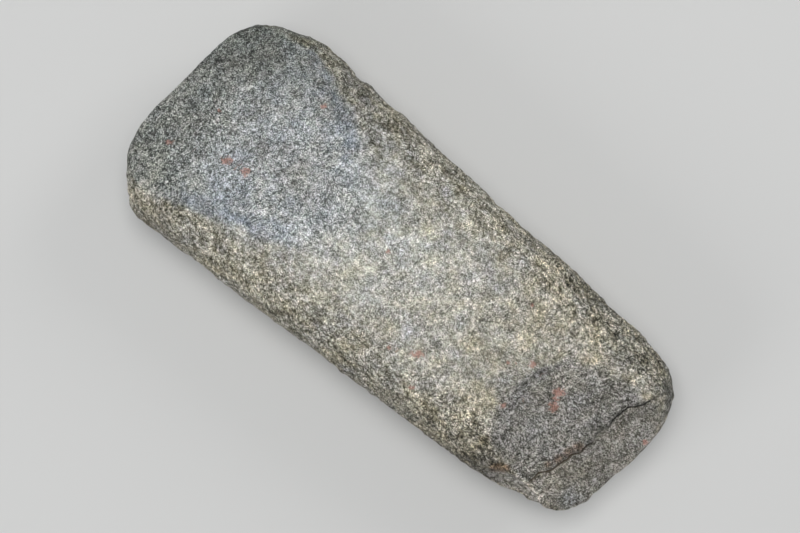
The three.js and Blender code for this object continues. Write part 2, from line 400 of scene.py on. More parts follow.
def from_red_grain(points):
    """For each point, the way from the nearest red grain, in lengths of the grain's own radius."""
    best = np.full(len(points), np.inf)
    ways = np.full((len(points), 3), FAR_FROM_GRAIN)
    top = points[:, 2] > 0.0
    for upper, grains in ((True, RED_GRAINS), (False, hidden_grains())):
        for along, across, radius, longer in grains:
            dx, dy = points[:, 0] - along, points[:, 1] - across
            way = np.zeros((len(points), 3))
            way[:, 0] = (dx * GRAIN_WAY[0] + dy * GRAIN_WAY[1]) / (radius * longer)
            way[:, 1] = (dy * GRAIN_WAY[0] - dx * GRAIN_WAY[1]) / radius
            far = np.linalg.norm(way, axis=1)
            nearer = (far < best) & (top == upper)
            best[nearer] = far[nearer]
            ways[nearer] = way[nearer]
    return np.clip(ways, -FAR_FROM_GRAIN, FAR_FROM_GRAIN)


# ---------------------------------------------------------------- the fine mesh

def box_shell(along, across):
    """The lattice points, outward quads and flat map places of a box's six faces.

    The four long faces unroll into one strip, split down the middle of the underside, and the two
    ends lie above it.
    """
    sizes = (along, across, across)
    quads, maps = [], []
    for axis in range(3):
        u, v = (axis + 1) % 3, (axis + 2) % 3
        i, j = np.meshgrid(np.arange(sizes[u]), np.arange(sizes[v]), indexing="ij")
        corners = [(0, 0), (1, 0), (1, 1), (0, 1)]
        for end in (0, sizes[axis]):
            face = np.zeros((i.size, 4, 3), dtype=int)
            turned = corners if end else corners[::-1]
            for k, (di, dj) in enumerate(turned):
                face[:, k, u] = i.ravel() + di
                face[:, k, v] = j.ravel() + dj
                face[:, k, axis] = end
            quads.append(face)
            maps.append(map_places(face, axis, end, across))
    quads, maps = np.concatenate(quads), np.concatenate(maps)
    keys = (quads[..., 0] * (across + 1) + quads[..., 1]) * (across + 1) + quads[..., 2]
    _, first, index = np.unique(keys.ravel(), return_index=True, return_inverse=True)
    return quads.reshape(-1, 3)[first], index.reshape(-1, 4), maps.reshape(-1, 2)


def map_places(face, axis, end, across):
    """Places in the unit square for one face of the box."""
    along, y, z = (face[..., k].astype(float) for k in range(3))
    if axis == 0:
        left = CAP_MAP_PLACES[1 if end else 0]
        flipped = y if end else across - y
        return np.stack((left + CAP_MAP * flipped / across, CAP_MAP_BASE + CAP_MAP * z / across), axis=-1)
    if axis == 1:
        round_it = z if end else 3 * across - z
    else:
        round_it = 2 * across - y if end else 3 * across + y
    round_it = round_it + across / 2.0
    if axis == 2 and not end:
        middle = y.mean(axis=1, keepdims=True)
        round_it = np.where(middle > across / 2.0, round_it - 4 * across, round_it)
    width = STRIP_MAP[0] * round_it / (4.0 * across)
    return np.stack((MAP_MARGIN + width, MAP_MARGIN + STRIP_MAP[1] * along / CELLS_ALONG), axis=-1)


def even_stations(walked):
    """Stations along the axis, for the lengths over the outline that walked(its whole length) gives."""
    turn = np.linspace(0.0, math.pi, STATION_STEPS)
    x = BUTT_END + (BIT_END - BUTT_END) * (1.0 - np.cos(turn)) / 2.0
    y = (half_width(x, "left") + half_width(x, "right")) / 2.0
    lengths = np.concatenate(([0.0], np.cumsum(np.hypot(np.diff(x), np.diff(y)))))
    return np.interp(walked(lengths[-1]), lengths, x)


def lattice_to_stone(points):
    """Stations and angles for the box lattice: its long faces wrap the body, its ends close the caps."""
    half = CELLS_ACROSS / 2.0
    across = (points[:, 1] - half) / half
    up = (points[:, 2] - half) / half
    reach = np.maximum(np.abs(across), np.abs(up))
    side = np.where(reach > 0.0, reach, 1.0)
    # the angle, spread evenly over each of the box's four sides
    flat = np.where(np.abs(up) >= np.abs(across), across, up) / side
    quarter = math.pi / 4.0
    turn = np.where(
        np.abs(up) >= np.abs(across),
        np.sign(up) * (2.0 * quarter - quarter * flat),
        np.where(across > 0.0, quarter * flat, math.pi - quarter * flat),
    )
    along = points[:, 0] / CELLS_ALONG

    def walked(total):
        body = CAP_LENGTH + (total - 2.0 * CAP_LENGTH) * along
        at_butt = CAP_LENGTH * reach
        at_bit = total - CAP_LENGTH * reach
        return np.where(along <= 0.0, at_butt, np.where(along >= 1.0, at_bit, body))

    return even_stations(walked), turn


def build_stone():
    """The axe head's mesh, in the middle of its node's box and as low as it."""
    lattice, quads, places = box_shell(CELLS_ALONG, CELLS_ACROSS)
    x, turn = lattice_to_stone(lattice.astype(float))
    points, skin = carve(blank_point(x, turn))
    low, high = points.min(axis=0), points.max(axis=0)
    node_low, node_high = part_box("axe_head")
    centre = (np.array(node_low) + np.array(node_high)) / 2.0 / MM
    shift = centre - (low + high) / 2.0
    shift[2] = node_low[2] / MM - low[2]
    mesh = bpy.data.meshes.new("greenstone axe head")
    mesh.vertices.add(len(points))
    mesh.vertices.foreach_set("co", ((points + shift) * MM).ravel())
    mesh.loops.add(quads.size)
    mesh.loops.foreach_set("vertex_index", quads.ravel())
    mesh.polygons.add(len(quads))
    mesh.polygons.foreach_set("loop_start", np.arange(0, quads.size, 4))
    mesh.update(calc_edges=True)
    mesh.validate()
    for name, values in skin.items():
        layer = mesh.attributes.new(name, "FLOAT", "POINT")
        layer.data.foreach_set("value", values.astype(np.float32))
    ways = mesh.attributes.new("from red grain", "FLOAT_VECTOR", "POINT")
    ways.data.foreach_set("vector", from_red_grain(points).astype(np.float32).ravel())
    unrolled = mesh.uv_layers.new(name="OFBake")
    unrolled.data.foreach_set("uv", places.astype(np.float32).ravel())
    mesh.shade_smooth()
    return mesh


# ---------------------------------------------------------------- node helpers

def add(tree, kind, inputs=None, **settings):
    """A node, with its settings, and its inputs set to values or linked to sockets."""
    made = tree.nodes.new(kind)
    for name, value in settings.items():
        setattr(made, name, value)
    for key, value in (inputs or {}).items():
        if isinstance(value, bpy.types.NodeSocket):
            tree.links.new(value, made.inputs[key])
        else:
            made.inputs[key].default_value = value
    return made


def maths(tree, operation, a, b=0.0, c=0.0):
    return add(tree, "ShaderNodeMath", {0: a, 1: b, 2: c}, operation=operation).outputs[0]


def times(tree, product, *others):
    """All the values multiplied together."""
    for other in others:
        product = maths(tree, "MULTIPLY", product, other)
    return product


def vectors(tree, operation, a, b, c=(0.0, 0.0, 0.0)):
    return add(tree, "ShaderNodeVectorMath", {0: a, 1: b, 2: c}, operation=operation).outputs["Vector"]


def scaled(tree, vector, scale):
    sockets = {0: vector, "Scale": scale}
    return add(tree, "ShaderNodeVectorMath", sockets, operation="SCALE").outputs["Vector"]


def turned_back(tree, vector, angles):
    """The vector as seen in a frame turned by the angles."""
    sockets = {"Vector": vector, "Rotation": angles}
    return add(tree, "ShaderNodeMapping", sockets, vector_type="TEXTURE").outputs["Vector"]


def ramp(tree, value, low, high, to_low=0.0, to_high=1.0):
    """Smooth step of value between low and high."""
    sockets = {"Value": value, "From Min": low, "From Max": high, "To Min": to_low, "To Max": to_high}
    return add(tree, "ShaderNodeMapRange", sockets, interpolation_type="SMOOTHSTEP").outputs["Result"]


def fade(tree, length, zone, to_low=0.0, to_high=1.0):
    """Smooth step of a length in metres, across a zone in millimetres."""
    return ramp(tree, length, zone[0] * MM, zone[1] * MM, to_low, to_high)


def between(tree, share, low, high):
    """Smooth step from one number to another, as share goes from 0 to 1."""
    return ramp(tree, share, 0.0, 1.0, low, high)


def noise(tree, vector, size, detail=0.0, roughness=0.5, output="Fac"):
    """Noise about 0.5, with lumps of the given size in metres."""
    sockets = {"Vector": vector, "Scale": 1.0 / size, "Detail": detail, "Roughness": roughness}
    return add(tree, "ShaderNodeTexNoise", sockets).outputs[output]


def swing(tree, value, amount):
    """Value's distance from one half, times amount."""
    return maths(tree, "MULTIPLY", maths(tree, "SUBTRACT", value, 0.5), amount)


def mix(tree, share, a, b, blend_type="MIX"):
    made = add(tree, "ShaderNodeMix", data_type="RGBA", blend_type=blend_type, clamp_factor=False)
    for key, value in {"Factor": share, "A": a, "B": b}.items():
        socket = next(k for k in made.inputs if k.name == key and k.enabled)
        if isinstance(value, bpy.types.NodeSocket):
            tree.links.new(value, socket)
        else:
            socket.default_value = value
    return next(k for k in made.outputs if k.enabled)


def tinted(tree, share, colour, tint):
    return mix(tree, share, colour, tint, "MULTIPLY")


def attribute(tree, name, output="Fac"):
    return add(tree, "ShaderNodeAttribute", attribute_name=name).outputs[output]


def group(kind, name, inputs, outputs):
    """An empty node group with its named inputs and outputs, and its two end nodes."""
    tree = bpy.data.node_groups.new(name, kind)
    for label, socket_type, value in inputs:
        socket = tree.interface.new_socket(label, in_out="INPUT", socket_type=socket_type)
        if value is not None:
            socket.default_value = value
    for label, socket_type in outputs:
        tree.interface.new_socket(label, in_out="OUTPUT", socket_type=socket_type)
    return tree, tree.nodes.new("NodeGroupInput"), tree.nodes.new("NodeGroupOutput")


# ---------------------------------------------------------------- relief of the skin

RELIEF_SIZES = (
    ("Swell Height", 0.7 * MM), ("Swell Size", 16.0 * MM),
    ("Lump Height", 1.2 * MM), ("Lump Size", 4.0 * MM),
    ("Peck Depth", 0.70 * MM), ("Peck Size", 1.9 * MM),
    ("Ground Share", 0.10), ("Top Share", 0.40), ("Butt Share", 1.6), ("Broken Share", 0.5),
    ("Half Width", 30.0 * MM),
)
FULL_RELIEF = 0.3 * MM              # this much counts as 1 in the "relief" attribute
BUTT_PECKING = (-20.0, -50.0)       # the pecking grows coarser along here
FLANK_PECKING = (0.35, 0.95)        # and over these shares of the half width
GROUND_FROM, BROKEN_FROM = (-0.2, 0.3), (-0.6, 0.8)
GROUND_SWELL = 0.35
LOWEST = (-1.0, -1.0, 0.0)          # nothing sinks below the floor that the axe lies on


def relief_tree():
    """Moves the fine mesh along its normals: broad swells everywhere, peck marks off the ground faces."""
    inputs = [("Geometry", "NodeSocketGeometry", None)]
    inputs += [(name, "NodeSocketFloat", value) for name, value in RELIEF_SIZES]
    inputs += [("Material", "NodeSocketMaterial", None)]
    outputs = [("Geometry", "NodeSocketGeometry")]
    tree, start, end = group("GeometryNodeTree", "pecked skin", inputs, outputs)
    tree.is_modifier = True
    given = start.outputs
    place = add(tree, "GeometryNodeInputPosition").outputs[0]
    along, across, _ = add(tree, "ShaderNodeSeparateXYZ", {0: place}).outputs

    def stored(name):
        made = add(tree, "GeometryNodeInputNamedAttribute", {"Name": name}, data_type="FLOAT")
        return made.outputs["Attribute"]

    def lumps(size, detail):
        per_metre = maths(tree, "DIVIDE", 1.0, given[size])
        sockets = {"Vector": place, "Scale": per_metre, "Detail": detail, "Roughness": 0.55}
        made = add(tree, "ShaderNodeTexNoise", sockets).outputs[0]
        return maths(tree, "SUBTRACT", made, 0.5)

    # how much of the pecking each part of the skin keeps
    outward = maths(tree, "DIVIDE", maths(tree, "ABSOLUTE", across), given["Half Width"])
    bare = times(
        tree,
        ramp(tree, stored("ground"), *GROUND_FROM, 1.0, 0.0),
        ramp(tree, outward, *FLANK_PECKING, given["Top Share"], 1.0),
        fade(tree, along, BUTT_PECKING, 1.0, given["Butt Share"]),
        ramp(tree, stored("broken"), *BROKEN_FROM, 1.0, given["Broken Share"]),
    )
    pecked = maths(tree, "MAXIMUM", bare, given["Ground Share"])

    swell = times(tree, lumps("Swell Size", 1.0), given["Swell Height"])
    lump = times(tree, lumps("Lump Size", 2.0), given["Lump Height"])
    sockets = {"Vector": place, "Scale": maths(tree, "DIVIDE", 1.0, given["Peck Size"]), "Smoothness": 0.6}
    pits = add(tree, "ShaderNodeTexVoronoi", sockets, feature="SMOOTH_F1").outputs["Distance"]
    peck = times(tree, maths(tree, "SUBTRACT", pits, 0.5), given["Peck Depth"])
    rough = times(tree, maths(tree, "ADD", lump, peck), pecked)
    height = maths(tree, "ADD", rough, times(tree, swell, between(tree, bare, GROUND_SWELL, 1.0)))

    normal = add(tree, "GeometryNodeInputNormal").outputs[0]
    moved = vectors(tree, "ADD", place, scaled(tree, normal, height))
    kept_up = vectors(tree, "MAXIMUM", moved, LOWEST)
    relief = maths(tree, "DIVIDE", rough, FULL_RELIEF)
    marks = {"Geometry": given["Geometry"], "Name": "relief", "Value": relief}
    marked = add(tree, "GeometryNodeStoreNamedAttribute", marks, data_type="FLOAT", domain="POINT")
    skin = add(tree, "GeometryNodeSetPosition", {"Geometry": marked.outputs[0], "Position": kept_up})
    real = add(tree, "GeometryNodeRealizeInstances", {"Geometry": skin.outputs[0]})
    dress = {"Geometry": real.outputs[0], "Material": given["Material"]}
    dressed = add(tree, "GeometryNodeSetMaterial", dress)
    tree.links.new(dressed.outputs[0], end.inputs[0])
    return tree


def with_relief(piece, material):
    """The piece's mesh after the relief tree, as a plain mesh."""
    tree = relief_tree()
    modifier = piece.modifiers.new("pecked skin", "NODES")
    modifier.node_group = tree
    named = {item.name: item.identifier for item in tree.interface.items_tree if item.in_out == "INPUT"}
    modifier[named["Material"]] = material
    depsgraph = bpy.context.evaluated_depsgraph_get()
    mesh = bpy.data.meshes.new_from_object(piece.evaluated_get(depsgraph))
    piece.modifiers.remove(modifier)
    return mesh


# ---------------------------------------------------------------- the stone's material

# Each face of the stone: its colour as the eye sees it, and how far its minerals spread about that
BODY = ((0.712, 0.70, 0.655), 0.385)
SIDES = ((0.628, 0.604, 0.526), 0.84)
GROUND = ((0.558, 0.575, 0.577), 0.46)
# painted sheen: the bluish glare of the lamps on the polished rims of the ground faces, painted into the
# colour
PAINTED_SHEEN = ((0.455, 0.49, 0.526), 0.37)
BIT_EDGE = ((0.322, 0.344, 0.32), 0.66)
BROKEN = ((0.428, 0.418, 0.398), 0.38)
END_FLAKE = ((0.422, 0.408, 0.38), 0.34)
SIDE_FLAKE = ((0.525, 0.508, 0.482), 0.38)
# Tints that those colours are multiplied by. That of the belly is partly painted light; those of the butt,
# the flanks, the bit's corner and the butt's flanks are partly painted shade and partly the stone's own
# darker, browner tone
BELLY_TINT_AND_LIGHT = (1.045, 1.045, 1.045, 1.0)
BUTT_TINT_AND_SHADE = (0.925, 0.905, 0.865, 1.0)
FLANK_TINT_AND_SHADE = (0.85, 0.85, 0.845, 1.0)
BLUE_TINT = (0.975, 0.995, 1.025, 1.0)
BIT_CORNER_TINT_AND_SHADE = (0.83, 0.84, 0.83, 1.0)
BUTT_FLANK_TINT_AND_SHADE = (0.87, 0.865, 0.845, 1.0)
# painted shade in the hollows of the peck marks
PIT_SHADE = (0.66, 0.65, 0.62, 1.0)
STEP_SHADE = (0.88, 0.88, 0.87, 1.0)
WARM = (1.022, 1.004, 0.94, 1.0)
COOL = (0.975, 0.995, 1.06, 1.0)
GREENISH = (0.99, 1.005, 0.985, 1.0)
PINKISH = (1.008, 0.996, 1.004, 1.0)
RUST = (0.92, 0.825, 0.76, 1.0)
# Colours that cover the stone's own
RED = (0.67, 0.47, 0.42, 1.0)
# painted shadow in the crack at the step's foot, and the crack's rust-brown stain seen in that shadow
CRACK_SHADOW = (0.10, 0.095, 0.085, 1.0)
CRACK_STAIN_IN_SHADOW = (0.27, 0.235, 0.19, 1.0)
EYE = 2.2                           # from colour as the eye sees it to light

# Where the zones of the skin begin and where they are full, millimetres along, outward or across
PAINTED_SHEEN_ALONG = (30.0, 40.0)
BIT_EDGE_ALONG, BIT_EDGE_ACROSS = (50.0, 74.0), (30.0, 22.0)
SIDES_OUTWARD = (12.0, 30.0)
BUTT_ALONG = (-16.0, -32.0)
BUTT_TINT_ALONG = (-14.0, -37.0)
BUTT_FLANK_ALONG, BUTT_FLANK_OUTWARD = (-22.0, -50.0), (8.0, 25.0)
BELLY_MIDDLE = 12.0
BELLY_ALONG, BELLY_OUTWARD = (27.0, 3.0), (25.0, 15.0)
BIT_CORNER_ALONG, BIT_CORNER_ACROSS = (35.0, 62.0), (-6.0, -26.0)
FLANK_OUTWARD = (23.0, 31.0)
FLANK_SLANT = 0.055                 # half the width grows by this slope towards the bit
PAINTED_SHEEN_SLANT = 0.6                   # the painted sheen runs further back along the flanks
CRACK_BROWN_ACROSS = (0.0, 12.0)    # the crack is browner towards +Y
# The same by depth, millimetres below the blank's skin
GROUND_DEEP, RIM_DEEP, RIM_TOO_DEEP = (-1.0, 1.9), (-0.4, 1.4), (5.2, 1.2)
BROKEN_DEEP = (-1.5, 1.6)
# And millimetres past the step: the end flake, the painted shade at both sides of the wall, and the painted
# shadow of the crack
END_FLAKE_PAST = (0.0, 0.6)
SHADE_BEFORE, SHADE_PAST = (-2.9, -0.3), (0.5, 0.2)
CRACK_SHADOW_BEFORE, CRACK_SHADOW_PAST = (-0.03, 0.03), (0.70, 0.28)
# Ragged borders: lump sizes, and how far ragged and broad lumps move each border
RAGGED_SIZE, BROAD_SIZE = 4.0 * MM, 14.0 * MM
GROUND_FRAY, BROKEN_FRAY = (2.0, 0.8), (3.2, 1.8)
EDGE_FRAY_ALONG, EDGE_FRAY_ACROSS = 14.0 * MM, 10.0 * MM
SIDES_FRAY = 8.0 * MM
# The painted sheen shows in patches of this size, where their noise is in this range
PAINTED_SHEEN_PATCH_SIZE = 5.5 * MM
PAINTED_SHEEN_PATCHES = (0.32, 0.62)
# The butt's flanks show this much on the broken face, and on the side flake
BUTT_FLANK_ON_BROKEN, BUTT_FLANK_ON_FLAKE = 0.3, 0.2
HOLLOW_RELIEF = (0.1, -1.3)         # painted shade darkens the peck marks as the "relief" attribute falls through this

# How strongly each part of the fabric shows: on ground faces, on broken faces, under weathered skin
FABRIC = {
    "Laths": (0.88, 0.86, 0.80),
    "Specks": (2.6, 2.9, 1.0),
    "Clumps": (1.2, 1.1, 0.8),
    "Mottle": (0.7, 0.7, 1.1),
}
FRESH_BASE, WEATHERED_BASE = 0.28, 0.27
LIGHTNESS_RANGE = (-0.25, 1.5)
# More contrast on the pecked butt, most on its flanks, and less play of warm and cool on smoother faces
BUTT_CONTRAST, BUTT_FLANK_CONTRAST = 0.3, 0.6
CLOUD_STRENGTH, MOTTLE_CLOUDS = 2.1, 0.5
GROUND_CLOUDS, BROKEN_CLOUDS = 0.45, 0.5
# Stains and red grains: how ragged, and from how far out, in their own radii, they set in
STAIN_FRAY, STAIN_FROM = 0.8, (0.15, 0.9)
RED_WARP, RED_WARP_SIZE, RED_FROM = (3.0, 3.0, 3.0), 1.0 * MM, (1.3, 0.5)
RED_SPECKS = (0.3, 0.6, 0.35, 0.8)
# Finish: how rough, and the bumps of single minerals
PECKED_ROUGHNESS, GROUND_ROUGHNESS = 0.85, 0.5
BUMP_CLUMPS, BUMP_STRENGTH, BUMP_DEPTH = 1.5, 0.6, 0.12 * MM
# Ripples of the broken faces, which run along the step
STREAK_WAY = math.radians(70.0)
STREAK_STRETCH = (0.16, 1.0, 1.0)
STREAK_SIZE = 0.9 * MM
STREAK_STRENGTH = 1.1

# The sizes of the fabric's parts, and how steeply each set of laths lies
LATH_LENGTH = 1.3 * MM
LATH_WIDTH = 0.19 * MM
LATH_BEND, LATH_BEND_SIZE = 0.06 * MM, 0.9 * MM
LATH_RIM = (0.46, 0.34)             # a lath fades in from its rim, in shares of its cell
PALE_LATHS = (0.40, 0.95)           # and only those drawn above the first number are pale
LATH_LIFTS = (88.0, 48.0, 70.0, 38.0, 80.0, 58.0)
LATH_SHIFT = (7.3, 3.1, 5.7)        # each set is moved on by this, so that no two sets match
SPECK_SIZE = 0.27 * MM
CLUMP_SIZE = 1.5 * MM
MOTTLE_SIZE = 4.5 * MM
HUE_SIZE = 6.5 * MM
HALF = (0.5, 0.5, 0.5)


def lath_turns():
    """Turns that spread the flat sides of the feldspar laths over every direction."""
    for k, lift in enumerate(LATH_LIFTS):
        yield (math.radians(lift), 0.0, math.pi * (k / len(LATH_LIFTS) + k % 2))


def grain_group():
    """The rock's fabric, as numbers between 0 and 1: tabular pale laths every way in a darker ground."""
    inputs = [
        ("Vector", "NodeSocketVector", None),
        ("Lath Length", "NodeSocketFloat", LATH_LENGTH),
        ("Lath Width", "NodeSocketFloat", LATH_WIDTH),
    ]
    outputs = [(name, "NodeSocketFloat") for name in (*FABRIC, "Hue")]
    tree, start, end = group("ShaderNodeTree", "mineral grain", inputs, outputs)
    place = start.outputs["Vector"]
    per_length = maths(tree, "DIVIDE", 1.0, start.outputs["Lath Length"])
    per_width = maths(tree, "DIVIDE", 1.0, start.outputs["Lath Width"])
    stretch = add(tree, "ShaderNodeCombineXYZ", {0: per_length, 1: per_length, 2: per_width}).outputs[0]
    bends = vectors(tree, "SUBTRACT", noise(tree, place, LATH_BEND_SIZE, output="Color"), HALF)
    bent = vectors(tree, "ADD", place, scaled(tree, bends, LATH_BEND))
    laths = None
    for k, angles in enumerate(lath_turns()):
        drawn = vectors(tree, "MULTIPLY", turned_back(tree, bent, angles), stretch)
        shifted = vectors(tree, "ADD", drawn, tuple(k * part for part in LATH_SHIFT))
        cells = add(tree, "ShaderNodeTexVoronoi", {"Vector": shifted, "Scale": 1.0}, feature="F1")
        body = ramp(tree, cells.outputs["Distance"], *LATH_RIM)
        brightness = add(tree, "ShaderNodeSeparateXYZ", {0: cells.outputs["Color"]}).outputs[0]
        lath = times(tree, body, ramp(tree, brightness, *PALE_LATHS))
        laths = lath if laths is None else maths(tree, "MAXIMUM", laths, lath)
    tree.links.new(laths, end.inputs["Laths"])
    for name, size, detail in (
        ("Specks", SPECK_SIZE, 0.0), ("Clumps", CLUMP_SIZE, 1.0), ("Mottle", MOTTLE_SIZE, 2.0),
        ("Hue", HUE_SIZE, 3.0),
    ):
        tree.links.new(noise(tree, place, size, detail, 0.6), end.inputs[name])
    return tree


def skin_zones(tree, place):
    """Shares of the stone's faces, with ragged borders, and the lengths that they are made from."""
    along, across, _ = add(tree, "ShaderNodeSeparateXYZ", {0: place}).outputs
    outward = maths(tree, "ABSOLUTE", across)
    ragged = swing(tree, noise(tree, place, RAGGED_SIZE, 3.0, 0.7), 1.0)
    broad = swing(tree, noise(tree, place, BROAD_SIZE, 1.0, 0.5), 1.0)

    def frayed(value, fray):
        value = maths(tree, "MULTIPLY_ADD", ragged, fray[0], value)
        return maths(tree, "MULTIPLY_ADD", broad, fray[1], value)

    ground = frayed(attribute(tree, "ground"), GROUND_FRAY)
    # painted sheen along the rims of the ground faces, in patches
    rim = times(tree, ramp(tree, ground, *RIM_DEEP), ramp(tree, ground, *RIM_TOO_DEEP))
    patchy = ramp(tree, noise(tree, place, PAINTED_SHEEN_PATCH_SIZE, 2.0, 0.6), *PAINTED_SHEEN_PATCHES)
    to_run_out = maths(tree, "MULTIPLY_ADD", outward, PAINTED_SHEEN_SLANT, along)
    to_edge = maths(tree, "MULTIPLY_ADD", ragged, EDGE_FRAY_ALONG, along)
    to_corner = maths(tree, "MULTIPLY_ADD", ragged, EDGE_FRAY_ACROSS, across)
    to_side = maths(tree, "MULTIPLY_ADD", broad, SIDES_FRAY, outward)
    broken = ramp(tree, frayed(attribute(tree, "broken"), BROKEN_FRAY), *BROKEN_DEEP)
    beyond = attribute(tree, "beyond")
    side_flake = attribute(tree, "side flake")
    butt_flanks = times(
        tree, fade(tree, along, BUTT_FLANK_ALONG), fade(tree, outward, BUTT_FLANK_OUTWARD),
        between(tree, broken, 1.0, BUTT_FLANK_ON_BROKEN),
    )
    return {
        "along": along,
        "across": across,
        "outward": outward,
        "beyond": beyond,
        "ragged": ragged,
        "sides": fade(tree, to_side, SIDES_OUTWARD),
        "ground": ramp(tree, ground, *GROUND_DEEP),
        "painted sheen": times(tree, rim, patchy, fade(tree, to_run_out, PAINTED_SHEEN_ALONG)),
        "edge": times(tree, fade(tree, to_edge, BIT_EDGE_ALONG), fade(tree, to_corner, BIT_EDGE_ACROSS)),
        "broken": broken,
        "unbroken": maths(tree, "SUBTRACT", 1.0, broken),
        "end flake": times(tree, broken, ramp(tree, beyond, *END_FLAKE_PAST)),
        "side flake": side_flake,
        "broken face": maths(tree, "MAXIMUM", broken, side_flake),
        "butt flanks": butt_flanks,
    }


def mineral_value(tree, place, grain, zones):
    """How light the minerals are: crisp on the ground and broken faces, softer under weathered skin."""
    fresh, weathered = FRESH_BASE, WEATHERED_BASE
    for name, (on_ground, on_broken, on_weathered) in FABRIC.items():
        part = grain[name] if name == "Laths" else maths(tree, "SUBTRACT", grain[name], 0.5)
        strength = between(tree, zones["broken face"], on_ground, on_broken)
        fresh = maths(tree, "MULTIPLY_ADD", part, strength, fresh)
        weathered = maths(tree, "MULTIPLY_ADD", part, on_weathered, weathered)
    along_step = turned_back(tree, place, (0.0, 0.0, STREAK_WAY))
    drawn_out = vectors(tree, "MULTIPLY", along_step, STREAK_STRETCH)
    streaks = swing(tree, noise(tree, drawn_out, STREAK_SIZE, 2.0, 0.6), STREAK_STRENGTH)
    fresh = maths(tree, "MULTIPLY_ADD", streaks, zones["broken"], fresh)
    share = maths(tree, "MAXIMUM", zones["ground"], zones["broken face"])
    value = add(tree, "ShaderNodeMix", {0: share, 2: weathered, 3: fresh}, data_type="FLOAT").outputs[0]
    value = add(tree, "ShaderNodeClamp", {0: value, 1: LIGHTNESS_RANGE[0], 2: LIGHTNESS_RANGE[1]}).outputs[0]
    butt = times(tree, fade(tree, zones["along"], BUTT_ALONG), zones["unbroken"])
    butt = times(tree, butt, BUTT_CONTRAST)
    stronger = maths(tree, "MULTIPLY_ADD", zones["butt flanks"], BUTT_FLANK_CONTRAST, butt)
    return maths(tree, "MULTIPLY_ADD", swing(tree, value, 1.0), stronger, value)


def face_colour(tree, value, zones):
    """The colour of each face, from its darkest mineral to its palest."""
    def tones(part):
        def tone(face):
            return tuple(level + (part - 0.5) * face[1] for level in face[0]) + (1.0,)
        chain = mix(tree, zones["sides"], tone(BODY), tone(SIDES))
        for zone, face in (
            ("ground", GROUND), ("painted sheen", PAINTED_SHEEN), ("edge", BIT_EDGE), ("broken", BROKEN),
            ("end flake", END_FLAKE), ("side flake", SIDE_FLAKE),
        ):
            chain = mix(tree, zones[zone], chain, tone(face))
        return chain

    return mix(tree, value, tones(0.0), tones(1.0))


def shaded(tree, colour, zones):
    """Paler along the middle, darker and browner towards the flanks, the butt and the bit's -Y corner:
    partly the stone's own tone, partly painted light and shade; and painted shade by the step and in the
    peck marks' hollows.
    """
    along, across, outward, beyond = (zones[name] for name in ("along", "across", "outward", "beyond"))
    from_belly = maths(tree, "ABSOLUTE", maths(tree, "SUBTRACT", along, BELLY_MIDDLE * MM))
    outermost = maths(tree, "MULTIPLY_ADD", along, -FLANK_SLANT, outward)
    # paler middle: partly painted light; darker towards the butt, the flanks and the bit's corner: partly
    # painted shade, partly the stone's own tone
    belly = times(tree, fade(tree, from_belly, BELLY_ALONG), fade(tree, outward, BELLY_OUTWARD))
    butt = times(tree, fade(tree, along, BUTT_TINT_ALONG), zones["unbroken"])
    by_step = times(tree, ramp(tree, beyond, *SHADE_BEFORE), ramp(tree, beyond, *SHADE_PAST))
    by_step = times(tree, by_step, zones["broken"])
    bit_corner = times(tree, fade(tree, along, BIT_CORNER_ALONG), fade(tree, across, BIT_CORNER_ACROSS))
    on_flake = between(tree, zones["side flake"], 1.0, BUTT_FLANK_ON_FLAKE)
    butt_flanks = times(tree, zones["butt flanks"], on_flake)
    for share, tint in (
        (belly, BELLY_TINT_AND_LIGHT),
        (butt, BUTT_TINT_AND_SHADE),
        (fade(tree, outermost, FLANK_OUTWARD), FLANK_TINT_AND_SHADE),
        (by_step, STEP_SHADE),
        (bit_corner, BIT_CORNER_TINT_AND_SHADE),
        (attribute(tree, "blueness"), BLUE_TINT),
        (butt_flanks, BUTT_FLANK_TINT_AND_SHADE),
        # painted shade in the peck marks' hollows
        (ramp(tree, attribute(tree, "relief"), *HOLLOW_RELIEF), PIT_SHADE),
    ):
        colour = tinted(tree, share, colour, tint)
    # the patches: partly the stone's own tone, partly painted light and shade
    ragged_share = maths(tree, "ADD", times(tree, zones["ragged"], 2.0), 1.0)
    patches = maths(tree, "MULTIPLY_ADD", attribute(tree, "tone_and_painted_light"), ragged_share, 1.0)
    return scaled(tree, colour, patches)


def clouded(tree, colour, grain, zones):
    """Warm and cool clouds, fainter on the ground and broken faces, and a play of green and pink."""
    warmth = swing(tree, grain["Hue"], CLOUD_STRENGTH)
    warmth = times(tree, warmth, between(tree, zones["ground"], 1.0, GROUND_CLOUDS))
    warmth = maths(tree, "ADD", warmth, swing(tree, grain["Mottle"], MOTTLE_CLOUDS))
    warmth = times(tree, warmth, between(tree, zones["broken"], 1.0, BROKEN_CLOUDS))
    warmth = add(tree, "ShaderNodeClamp", {0: maths(tree, "ADD", warmth, 0.5)}).outputs[0]
    colour = tinted(tree, 1.0, colour, mix(tree, warmth, COOL, WARM))
    return tinted(tree, 1.0, colour, mix(tree, ramp(tree, grain["Clumps"], 0.3, 0.7), GREENISH, PINKISH))


